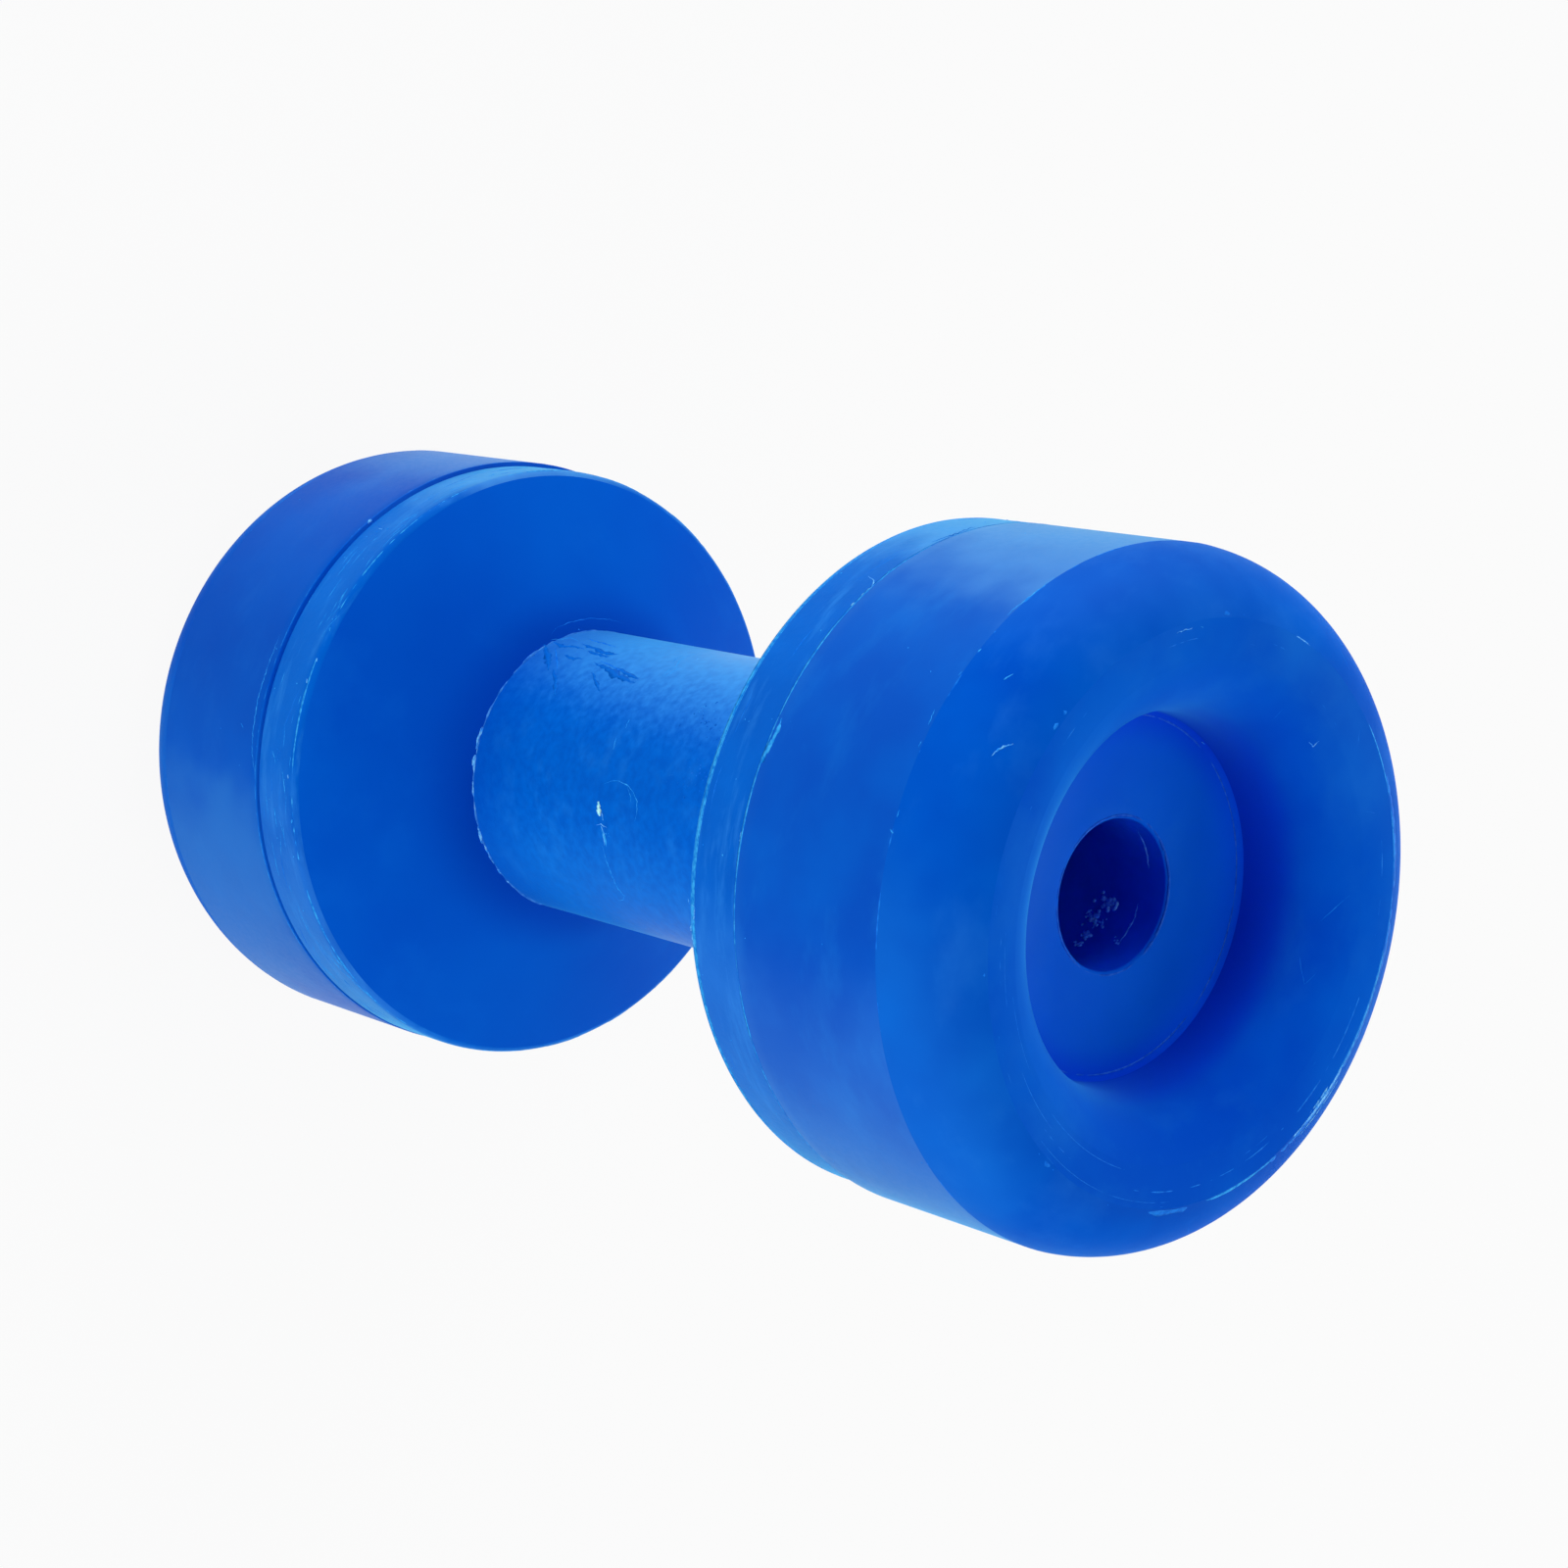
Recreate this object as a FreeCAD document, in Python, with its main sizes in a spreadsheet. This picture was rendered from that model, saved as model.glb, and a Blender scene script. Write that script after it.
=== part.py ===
import FreeCAD, Part
import math
import os
import Sketcher

# Boat trailer roller of the dumbbell kind, moulded in one piece from tough blue plastic.
# Millimetres. The roller stands on one end: +Z runs up its axle bore, and the origin is
# the centre of the rim that it stands on.

os.makedirs("parts", exist_ok=True)
doc = FreeCAD.newDocument("trailer_roller")

# Driving sizes
driving_sizes = [
    ("overall_length", 150.0, "rim crest to rim crest, along the axle"),
    ("head_diameter", 75.8, "each head at its mould line, where it is largest"),
    ("shoulder_height", 8.35, "axial height of the rounded outer shoulder"),
    ("shoulder_radius", 9.8, "round of that shoulder"),
    ("rim_width", 3.4, "gently dished part of the rim, inwards from its crest"),
    ("rim_slope", 10.0, "degrees that the rim dips inwards"),
    ("mouth_radius", 8.5, "round from the rim down into the end recess"),
    ("recess_depth", 12.4, "rim crest to hub face"),
    ("recess_draft", 7.0, "degrees of draft on the recess wall"),
    ("hub_face_diameter", 39.8, "flat hub face at the foot of the recess"),
    ("bore_diameter", 16.4, "running bore for a 16 mm pin"),
    ("bore_edge", 0.4, "broken edge at each mouth of the bore"),
    ("shaft_diameter", 35.5, "waist between the heads"),
    ("keel_gap_root", 56.2, "gap between the heads, at the shaft"),
    ("keel_gap_rim", 75.2, "gap between the heads, at their outer edges"),
    ("flank_edge_bevel", 0.9, "broken inner edge of each head"),
    ("mould_line_spacing", 90.6, "between the mould lines that go round the heads"),
    ("mould_step", 0.3, "how far the head stands proud of the band inside its mould line"),
    ("gate_angle", -78.0, "degrees round from +X to the moulding gate"),
    ("gate_dish_diameter", 5.6, "shallow dish round the gate"),
    ("gate_dish_depth", 0.35, "depth of that dish below the shaft"),
    ("gate_stub_diameter", 1.8, "trimmed stub in the middle of the dish"),
    ("gate_stub_height", 0.6, "height of the stub above the floor of the dish"),
]
sizes = doc.addObject("Spreadsheet::Sheet", "sizes")
for row, (name, value, note) in enumerate(driving_sizes, start=1):
    sizes.set("A%d" % row, name)
    sizes.set("B%d" % row, "%g" % value)
    sizes.set("C%d" % row, note)
    sizes.setAlias("B%d" % row, name)
doc.recompute()


def size(name):
    return float(sizes.get(name))


def origin_item(body, role):
    for item in body.Origin.OriginFeatures:
        if item.Role == role:
            return item
    raise ValueError("no origin item " + role)


def flat_sketch(body, name, role):
    sketch = body.newObject("Sketcher::SketchObject", name)
    sketch.AttachmentSupport = [(origin_item(body, role), "")]
    sketch.MapMode = "FlatFace"
    return sketch


def dimension(sketch, name, kind, *where, rule):
    """Adds a named dimension whose value follows a rule written with the sheet's sizes."""
    value = float(sketch.evalExpression(rule))
    if kind == "Angle":
        value = math.radians(value)
    index = sketch.addConstraint(Sketcher.Constraint(kind, *where, value))
    sketch.renameConstraint(index, name)
    sketch.setExpression("Constraints." + name, rule)


def arc(centre, radius, start, end):
    """Arc that turns anticlockwise round its centre from one point to another."""
    first = math.atan2(start.y - centre.y, start.x - centre.x)
    last = math.atan2(end.y - centre.y, end.x - centre.x)
    circle = Part.Circle(centre, FreeCAD.Vector(0, 0, 1), radius)
    return Part.ArcOfCircle(circle, first, last)


def centre_left_of(start, end, radius):
    """Centre of the arc of that radius that bulges to the right of start to end."""
    chord = end - start
    middle = (start + end) * 0.5
    across = FreeCAD.Vector(-chord.y, chord.x, 0).normalize()
    reach = math.sqrt(radius ** 2 - (chord.Length / 2) ** 2)
    return middle + across * reach


def ring_edges(shape, radius, height):
    """Names of the circular edges round the axle with that radius, at plus and minus height."""
    names = []
    for index, edge in enumerate(shape.Edges, start=1):
        if not isinstance(edge.Curve, Part.Circle):
            continue
        centre = edge.Curve.Center
        off_axle = math.hypot(centre.x, centre.y)
        off_height = abs(centre.z) - height
        off_radius = edge.Curve.Radius - radius
        if all(round(miss, 3) == 0 for miss in (off_axle, off_height, off_radius)):
            names.append("Edge%d" % index)
    return names


# Half section of one head and half the shaft: radius across the sketch, height up it,
# starting from mid-length on the axle.
half_length = size("overall_length") / 2
root_height = size("keel_gap_root") / 2
flank_height = size("keel_gap_rim") / 2
line_height = size("mould_line_spacing") / 2
drum_end_height = half_length - size("shoulder_height")
hub_height = half_length - size("recess_depth")

shaft_radius = size("shaft_diameter") / 2
head_radius = size("head_diameter") / 2
band_radius = head_radius - size("mould_step")
hub_face_radius = size("hub_face_diameter") / 2

# The recess: a draft wall, the mouth round tangent to it, then the rim, which runs off that
# round at its own slope up to the crest, the highest point of the roller.
rim_slope = math.radians(size("rim_slope"))
wall_slope = math.radians(90 - size("recess_draft"))
rim_foot_height = half_length - size("rim_width") * math.tan(rim_slope)
wall_top_height = rim_foot_height - size("mouth_radius") * (math.cos(rim_slope) - math.cos(wall_slope))
wall_top_radius = hub_face_radius + (wall_top_height - hub_height) / math.tan(wall_slope)
mouth_reach = size("mouth_radius") * (math.sin(wall_slope) - math.sin(rim_slope))
rim_foot_radius = wall_top_radius + mouth_reach
crest_radius = rim_foot_radius + size("rim_width")

axle_middle = FreeCAD.Vector(0, 0, 0)
shaft_middle = FreeCAD.Vector(shaft_radius, 0, 0)
shaft_root = FreeCAD.Vector(shaft_radius, root_height, 0)
flank_edge = FreeCAD.Vector(band_radius, flank_height, 0)
band_line = FreeCAD.Vector(band_radius, line_height, 0)
head_line = FreeCAD.Vector(head_radius, line_height, 0)
drum_end = FreeCAD.Vector(head_radius, drum_end_height, 0)
crest = FreeCAD.Vector(crest_radius, half_length, 0)
rim_foot = FreeCAD.Vector(rim_foot_radius, rim_foot_height, 0)
wall_top = FreeCAD.Vector(wall_top_radius, wall_top_height, 0)
wall_foot = FreeCAD.Vector(hub_face_radius, hub_height, 0)
axle_end = FreeCAD.Vector(0, hub_height, 0)

shoulder_centre = centre_left_of(drum_end, crest, size("shoulder_radius"))
down_rim = FreeCAD.Vector(math.sin(rim_slope), -math.cos(rim_slope), 0)
mouth_centre = rim_foot + down_rim * size("mouth_radius")

# The body's own origin is mid-length on the axle, so that one end mirrors into the other.
roller = doc.addObject("PartDesign::Body", "Roller")
roller.Label = "roller"
section = flat_sketch(roller, "HalfSection", "XZ_Plane")
outline = [
    Part.LineSegment(axle_middle, shaft_middle),
    Part.LineSegment(shaft_middle, shaft_root),
    Part.LineSegment(shaft_root, flank_edge),
    Part.LineSegment(flank_edge, band_line),
    Part.LineSegment(band_line, head_line),
    Part.LineSegment(head_line, drum_end),
    arc(shoulder_centre, size("shoulder_radius"), drum_end, crest),
    Part.LineSegment(crest, rim_foot),
    arc(mouth_centre, size("mouth_radius"), rim_foot, wall_top),
    Part.LineSegment(wall_top, wall_foot),
    Part.LineSegment(wall_foot, axle_end),
    Part.LineSegment(axle_end, axle_middle),
]
section.addGeometry(outline, False)
middle, shaft, flank, band, step, drum, shoulder, rim, mouth, wall, hub_face, axle = range(len(outline))
sketch_origin = (-1, 1)
start, end, centre = range(1, 4)

smooth_joints = ((rim, mouth), (mouth, wall))
for first in range(len(outline)):
    following = (first + 1) % len(outline)
    joint = "Tangent" if (first, following) in smooth_joints else "Coincident"
    section.addConstraint(Sketcher.Constraint(joint, first, end, following, start))
section.addConstraint(Sketcher.Constraint("Coincident", middle, start, *sketch_origin))
for level in (middle, step, hub_face):
    section.addConstraint(Sketcher.Constraint("Horizontal", level))
for upright in (shaft, band, drum, axle):
    section.addConstraint(Sketcher.Constraint("Vertical", upright))

half = "sizes.overall_length / 2"
dimension(section, "shaft_radius", "DistanceX", *sketch_origin, shaft, start, rule="sizes.shaft_diameter / 2")
dimension(section, "root_height", "DistanceY", *sketch_origin, shaft, end, rule="sizes.keel_gap_root / 2")
dimension(section, "flank_height", "DistanceY", *sketch_origin, flank, end, rule="sizes.keel_gap_rim / 2")
dimension(section, "line_height", "DistanceY", *sketch_origin, band, end,
          rule="sizes.mould_line_spacing / 2")
dimension(section, "mould_step", "DistanceX", band, end, drum, start, rule="sizes.mould_step")
dimension(section, "head_radius", "DistanceX", *sketch_origin, drum, start, rule="sizes.head_diameter / 2")
dimension(section, "drum_end_height", "DistanceY", *sketch_origin, drum, end,
          rule=half + " - sizes.shoulder_height")
dimension(section, "shoulder_radius", "Radius", shoulder, rule="sizes.shoulder_radius")
dimension(section, "crest_height", "DistanceY", *sketch_origin, rim, start, rule=half)
dimension(section, "rim_drop", "DistanceY", rim, end, rim, start,
          rule="tan(sizes.rim_slope) * sizes.rim_width")
dimension(section, "rim_width", "DistanceX", rim, end, rim, start, rule="sizes.rim_width")
dimension(section, "mouth_radius", "Radius", mouth, rule="sizes.mouth_radius")
dimension(section, "wall_slope", "Angle", wall, end, hub_face, start, rule="90 + sizes.recess_draft")
dimension(section, "hub_height", "DistanceY", *sketch_origin, wall, end, rule=half + " - sizes.recess_depth")
dimension(section, "hub_face_radius", "DistanceX", *sketch_origin, wall, end,
          rule="sizes.hub_face_diameter / 2")
doc.recompute()

one_end = roller.newObject("PartDesign::Revolution", "OneEnd")
one_end.Profile = section
one_end.ReferenceAxis = (section, ["V_Axis"])
one_end.Angle = 360
doc.recompute()

both_ends = roller.newObject("PartDesign::Mirrored", "BothEnds")
both_ends.Originals = [one_end]
both_ends.MirrorPlane = (origin_item(roller, "XY_Plane"), [""])
roller.Tip = both_ends
doc.recompute()

# Axle bore, right through, with its two mouths broken.
bore_sketch = flat_sketch(roller, "BoreSketch", "XY_Plane")
bore_circle = Part.Circle(FreeCAD.Vector(0, 0, 0), FreeCAD.Vector(0, 0, 1), size("bore_diameter") / 2)
bore_sketch.addGeometry(bore_circle, False)
bore_sketch.addConstraint(Sketcher.Constraint("Coincident", 0, centre, *sketch_origin))
dimension(bore_sketch, "bore_diameter", "Diameter", 0, rule="sizes.bore_diameter")
bore = roller.newObject("PartDesign::Pocket", "Bore")
bore.Profile = bore_sketch
bore.Type = "ThroughAll"
bore.Midplane = True
roller.Tip = bore
doc.recompute()


def break_rings(name, radius, height, rule):
    """Bevels the matching pair of edges, one on each end, that run round the axle."""
    base = roller.Tip
    bevel = roller.newObject("PartDesign::Chamfer", name)
    bevel.Base = (base, ring_edges(base.Shape, radius, height))
    bevel.setExpression("Size", rule)
    roller.Tip = bevel
    doc.recompute()


break_rings("FlankEdges", flank_edge.x, flank_height, "sizes.flank_edge_bevel")
break_rings("BoreMouths", size("bore_diameter") / 2, hub_height, "sizes.bore_edge")
uncut_volume = roller.Shape.Volume

# Moulding gate, mid-length on the shaft: a shallow dish with a trimmed stub in its middle.
# Both start from the floor of the dish and go outwards.
gate_floor = "(sizes.shaft_diameter / 2 - sizes.gate_dish_depth)"


def gate_sketch(name, diameter_name):
    sketch = flat_sketch(roller, name, "XZ_Plane")
    turned = FreeCAD.Rotation(FreeCAD.Vector(0, 1, 0), size("gate_angle") + 90)
    sketch.AttachmentOffset = FreeCAD.Placement(FreeCAD.Vector(0, 0, 0), turned)
    sketch.setExpression("AttachmentOffset.Rotation.Angle", "sizes.gate_angle + 90")
    sketch.setExpression("AttachmentOffset.Base.x", "sin(sizes.gate_angle + 90) * " + gate_floor)
    sketch.setExpression("AttachmentOffset.Base.z", "cos(sizes.gate_angle + 90) * " + gate_floor)
    circle = Part.Circle(FreeCAD.Vector(0, 0, 0), FreeCAD.Vector(0, 0, 1), size(diameter_name) / 2)
    sketch.addGeometry(circle, False)
    sketch.addConstraint(Sketcher.Constraint("Coincident", 0, centre, *sketch_origin))
    dimension(sketch, diameter_name, "Diameter", 0, rule="sizes." + diameter_name)
    return sketch


gate_dish = roller.newObject("PartDesign::Pocket", "GateDish")
gate_dish.Profile = gate_sketch("GateDishSketch", "gate_dish_diameter")
gate_dish.Reversed = True
gate_dish.setExpression("Length", "sizes.gate_dish_depth * 2")
roller.Tip = gate_dish
doc.recompute()
gate_stub = roller.newObject("PartDesign::Pad", "GateStub")
gate_stub.Profile = gate_sketch("GateStubSketch", "gate_stub_diameter")
gate_stub.setExpression("Length", "sizes.gate_stub_height")
roller.Tip = gate_stub

# Stand the roller on its lower rim.
roller.setExpression("Placement.Base.z", "sizes.overall_length / 2")
doc.recompute()

failed = [item.Name for item in doc.Objects if "Invalid" in item.State or "Error" in item.State]
if failed:
    raise RuntimeError("failed: " + ", ".join(failed))
if roller.Shape.isNull() or not roller.Shape.isValid() or len(roller.Shape.Solids) != 1:
    raise RuntimeError("the roller is not one valid solid")
if gate_dish.Shape.Volume >= uncut_volume:
    raise RuntimeError("the gate dish cuts nothing")
roller.Shape.exportStep("parts/" + roller.Label + ".step")
print(roller.Label, "one solid of", round(roller.Shape.Volume), "cubic mm")
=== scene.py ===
import math
import random

import bmesh
import bpy
from mathutils import Matrix, Vector, noise
from mathutils.bvhtree import BVHTree


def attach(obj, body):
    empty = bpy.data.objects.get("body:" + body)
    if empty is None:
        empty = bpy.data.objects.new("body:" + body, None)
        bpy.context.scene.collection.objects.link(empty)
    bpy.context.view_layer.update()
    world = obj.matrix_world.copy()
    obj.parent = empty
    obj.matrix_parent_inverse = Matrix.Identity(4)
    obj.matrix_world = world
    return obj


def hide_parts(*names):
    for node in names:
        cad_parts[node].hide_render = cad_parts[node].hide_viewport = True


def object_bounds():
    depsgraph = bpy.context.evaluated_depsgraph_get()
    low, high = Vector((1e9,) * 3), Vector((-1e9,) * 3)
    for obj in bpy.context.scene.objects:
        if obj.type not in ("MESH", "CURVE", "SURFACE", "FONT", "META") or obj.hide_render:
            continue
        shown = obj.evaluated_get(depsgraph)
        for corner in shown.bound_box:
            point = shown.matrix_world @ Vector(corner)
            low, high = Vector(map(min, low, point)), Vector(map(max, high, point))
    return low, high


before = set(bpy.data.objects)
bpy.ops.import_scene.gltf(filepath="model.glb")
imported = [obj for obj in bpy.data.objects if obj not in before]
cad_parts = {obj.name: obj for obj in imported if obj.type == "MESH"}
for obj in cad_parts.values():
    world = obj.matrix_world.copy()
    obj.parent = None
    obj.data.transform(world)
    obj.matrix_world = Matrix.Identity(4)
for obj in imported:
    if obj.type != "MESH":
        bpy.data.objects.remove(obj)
frameLow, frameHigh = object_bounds()
random.seed(16)
mm = 0.001
weld = 2e-6    # m, points nearer than this are joined
halfLength = round((frameHigh.z - frameLow.z) / 2 / mm, 3)    # mm, from mid-length to a crest
bpy.context.scene.view_settings.view_transform = "Standard"
print("frame loaded")


# The camera, at the photograph's angle: rolled over, so that the axle runs across the picture
cameraValues = {
    "place": (0.0, -261.5, 371.9),   # mm
    "aim": (-4.06, 4.01, 78.69),     # mm
    "roll": -102.40,                 # degrees
    "lens": 76.01,                   # mm
    "sensor": 36,                    # mm
    "clip": (0.01, 20),              # m, the nearest and furthest that it sees
}


def makeCamera(values):
    data = bpy.data.cameras.new("photoCamera")
    data.lens = values["lens"]
    data.sensor_width = values["sensor"]
    data.clip_start, data.clip_end = values["clip"]
    camera = bpy.data.objects.new("photoCamera", data)
    bpy.context.scene.collection.objects.link(camera)
    place = Vector(values["place"]) * mm
    forward = (Vector(values["aim"]) * mm - place).normalized()
    level = forward.to_track_quat("-Z", "Y").to_matrix()
    turned = Matrix.Rotation(math.radians(values["roll"]), 3, forward) @ level
    camera.matrix_world = Matrix.Translation(place) @ turned.to_4x4()
    bpy.context.scene.camera = camera
    return camera


camera = makeCamera(cameraValues)
bpy.context.view_layer.update()
print("camera ready")


# What all materials and pieces use
def linear(hexColour):
    # an sRGB colour as the linear one that nodes take
    out = []
    for start in (1, 3, 5):
        share = int(hexColour[start:start + 2], 16) / 255
        out.append(share / 12.92 if share <= 0.04045 else ((share + 0.055) / 1.055) ** 2.4)
    return (*out, 1.0)


def emptyTree(owner):
    owner.use_nodes = True
    owner.node_tree.nodes.clear()
    return owner.node_tree


def addNode(tree, kind, links=(), **settings):
    node = tree.nodes.new(kind)
    for name, value in settings.items():
        if name == "inputs":
            for socket, number in value.items():
                node.inputs[socket].default_value = number
        else:
            setattr(node, name, value)
    for source, socket in links:
        tree.links.new(source, node.inputs[socket])
    return node


def addNoise(tree, place, size, detail, roughness):
    # noise with features of about that size in mm
    return addNode(tree, "ShaderNodeTexNoise", [(place, "Vector")], inputs={
        "Scale": 1 / (size * mm), "Detail": detail, "Roughness": roughness}).outputs["Fac"]


def mapRange(tree, source, span, result, kind="LINEAR"):
    return addNode(tree, "ShaderNodeMapRange", [(source, 0)], interpolation_type=kind,
                   inputs={1: span[0], 2: span[1], 3: result[0], 4: result[1]}).outputs[0]


def addTone(tree, source, span, deep, pale):
    # from the deep colour to the pale one, while the source goes through the span
    tone = addNode(tree, "ShaderNodeValToRGB", [(source, 0)])
    for element, position, colour in zip(tone.color_ramp.elements, span, (deep, pale)):
        element.position = position
        element.color = linear(colour)
    return tone.outputs["Color"]


def layOver(tree, share, under, colour):
    return addNode(tree, "ShaderNodeMix", [(share, 0), (under, 6)], data_type="RGBA",
                   inputs={7: linear(colour)}).outputs[2]


def meshObject(name, bm, materials):
    mesh = bpy.data.meshes.new(name)
    bm.to_mesh(mesh)
    bm.free()
    for material in materials:
        mesh.materials.append(material)
    shown = bpy.data.objects.new(name, mesh)
    bpy.context.scene.collection.objects.link(shown)
    return shown


# Floor and light
stageValues = {
    "floorSize": 6.0,        # m
    "floor": "#b8b9ba",
    "shownWhite": "#ffffff",
    "shadowShare": 0.07,     # how much of the lit floor the camera sees
    "worldStrength": 0.02,
    "lamps": [
        # name, turn about the roller (degrees from +X), climb (degrees), distance and width (m),
        # watts, colour
        ("pictureTopPanel", 182, 12, 1.0, 0.8, 9.0, "#ffffff"),
        ("pictureFootPanel", 352, 14, 1.0, 0.8, 5.0, "#ffffff"),
        ("rightPanel", 278, 8, 1.0, 0.5, 6.0, "#ffffff"),
        ("leftPanel", 88, 25, 1.0, 0.8, 5.4, "#ffffff"),
        ("footCornerPanel", 45, 40, 1.0, 0.7, 1.6, "#ffffff"),
        ("overheadPanel", 0, 90, 1.0, 0.7, 2.5, "#ffffff"),
    ],
}


def backdropShare(tree, share):
    # how much of the plain white backdrop a ray meets: the camera's own rays, and mirrored or
    # refracted ones
    rays = addNode(tree, "ShaderNodeLightPath").outputs
    bent = addNode(tree, "ShaderNodeMath", [(rays["Is Glossy Ray"], 0), (rays["Is Transmission Ray"], 1)],
                   operation="MAXIMUM").outputs[0]
    seen = addNode(tree, "ShaderNodeMath", [(rays["Is Camera Ray"], 0), (bent, 1)],
                   operation="MAXIMUM").outputs[0]
    return addNode(tree, "ShaderNodeMath", [(seen, 0)], operation="MULTIPLY",
                   inputs={1: share}).outputs[0]


def makeFloor(values):
    # matt paper, lit as the object is, with the white of the photograph's ground over it
    material = bpy.data.materials.new("paleStudioPaper")
    tree = emptyTree(material)
    paper = addNode(tree, "ShaderNodeBsdfDiffuse", inputs={"Color": linear(values["floor"])})
    white = addNode(tree, "ShaderNodeEmission", inputs={"Color": linear(values["shownWhite"])})
    mixed = addNode(tree, "ShaderNodeMixShader", [
        (backdropShare(tree, 1 - values["shadowShare"]), 0), (paper.outputs[0], 1), (white.outputs[0], 2)])
    addNode(tree, "ShaderNodeOutputMaterial", [(mixed.outputs[0], 0)])
    bm = bmesh.new()
    bmesh.ops.create_grid(bm, x_segments=1, y_segments=1, size=values["floorSize"] / 2)
    floor = meshObject("floor", bm, [material])


def makeWorld(values):
    world = bpy.data.worlds.new("softStudio")
    bpy.context.scene.world = world
    tree = emptyTree(world)
    lit = addNode(tree, "ShaderNodeBackground", inputs={
        "Color": linear(values["shownWhite"]), "Strength": values["worldStrength"]})
    shown = addNode(tree, "ShaderNodeBackground", inputs={
        "Color": linear(values["shownWhite"]), "Strength": 1.0})
    mixed = addNode(tree, "ShaderNodeMixShader", [
        (backdropShare(tree, 1.0), 0), (lit.outputs[0], 1), (shown.outputs[0], 2)])
    addNode(tree, "ShaderNodeOutputWorld", [(mixed.outputs[0], 0)])


def makeLamps(values, target):
    for name, turn, climb, distance, width, watts, colour in values["lamps"]:
        data = bpy.data.lights.new(name, "AREA")
        data.shape = "DISK"
        data.size = width
        data.energy = watts
        data.color = linear(colour)[:3]
        lamp = bpy.data.objects.new(name, data)
        bpy.context.scene.collection.objects.link(lamp)
        turned = Matrix.Rotation(math.radians(turn), 3, "Z") @ Matrix.Rotation(math.radians(-climb), 3, "Y")
        toward = turned @ Vector((distance, 0, 0))
        lamp.location = target + toward
        lamp.rotation_euler = (-toward).to_track_quat("-Z", "Y").to_euler()


makeFloor(stageValues)
makeWorld(stageValues)
makeLamps(stageValues, (frameLow + frameHigh) / 2)
print("floor and light ready")


# The moulding. Radii and heights in mm, heights from mid-length; both ends are alike.
mouldingValues = {
    "bore": 8.2,
    "boreEdge": 0.4,             # round of the bore's mouths
    "hubHeight": 62.6,
    "hubRadius": 19.9,
    "hubRound": 0.8,
    "wallTop": (20.17, 66.21),   # radius and height
    "mouthRound": 9.0,
    "rimFoot": (26.45, 74.42),
    "rimRound": 16.5,
    "crest": 30.8,
    "shoulderRound": 9.8,
    "drumEnd": 66.65,
    "drum": 37.86,
    "mouldLine": 45.3,
    "lineBevel": (0.04, 0.25, 0.06),   # the drum's edge there: how far in, from and to what height
    "mouldStep": 0.32,
    "creaseDepth": 0.20,
    "creaseWidth": 0.27,
    "flankEdge": 37.6,
    "flankRound": 1.2,
    "shaft": 17.75,
    "shaftRoot": 28.1,
    "steps": 320,                # round the axle
    "sharpAngle": 30,            # degrees
}


def drawLine(bm, start, place, parts=1):
    end = Vector((place[0], 0, place[1])) * mm
    run = (end - start.co) / parts
    for step in range(parts):
        fresh = bmesh.ops.extrude_vert_indiv(bm, verts=[start])
        fresh["verts"][0].co = start.co + run
        start = fresh["verts"][0]
    return start


def drawArc(bm, start, centre, turn, parts):
    # a positive turn goes from the inner side over the top to the outer side
    middle = Vector((centre[0], 0, centre[1])) * mm
    made = bmesh.ops.spin(bm, geom=[start], cent=middle, axis=(0, 1, 0), angle=turn,
                          steps=parts, use_merge=False, use_duplicate=False)
    return next(item for item in made["geom_last"] if isinstance(item, bmesh.types.BMVert))


def drawCorner(bm, at, before, corner, after, radius, lineParts, arcParts):
    # the straight run up to a rounded corner, and its round
    before, corner, after = Vector(before), Vector(corner), Vector(after)
    inward, outward = (corner - before).normalized(), (after - corner).normalized()
    turn = inward.angle_signed(outward)
    start = corner - inward * (radius * math.tan(abs(turn) / 2))
    side = Vector((inward.y, -inward.x)) * (1 if turn > 0 else -1)
    at = drawLine(bm, at, start, lineParts)
    return drawArc(bm, at, start + side * radius, turn, arcParts)


def drawSweep(bm, at, start, end, radius, parts):
    # an arc between two places, with its centre on the right-hand side on the way
    start, end = Vector(start), Vector(end)
    across = Vector(((end - start).y, -(end - start).x)).normalized()
    centre = (start + end) / 2 + across * math.sqrt(radius ** 2 - ((end - start).length / 2) ** 2)
    return drawArc(bm, at, centre, (start - centre).angle_signed(end - centre), parts)


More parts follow.
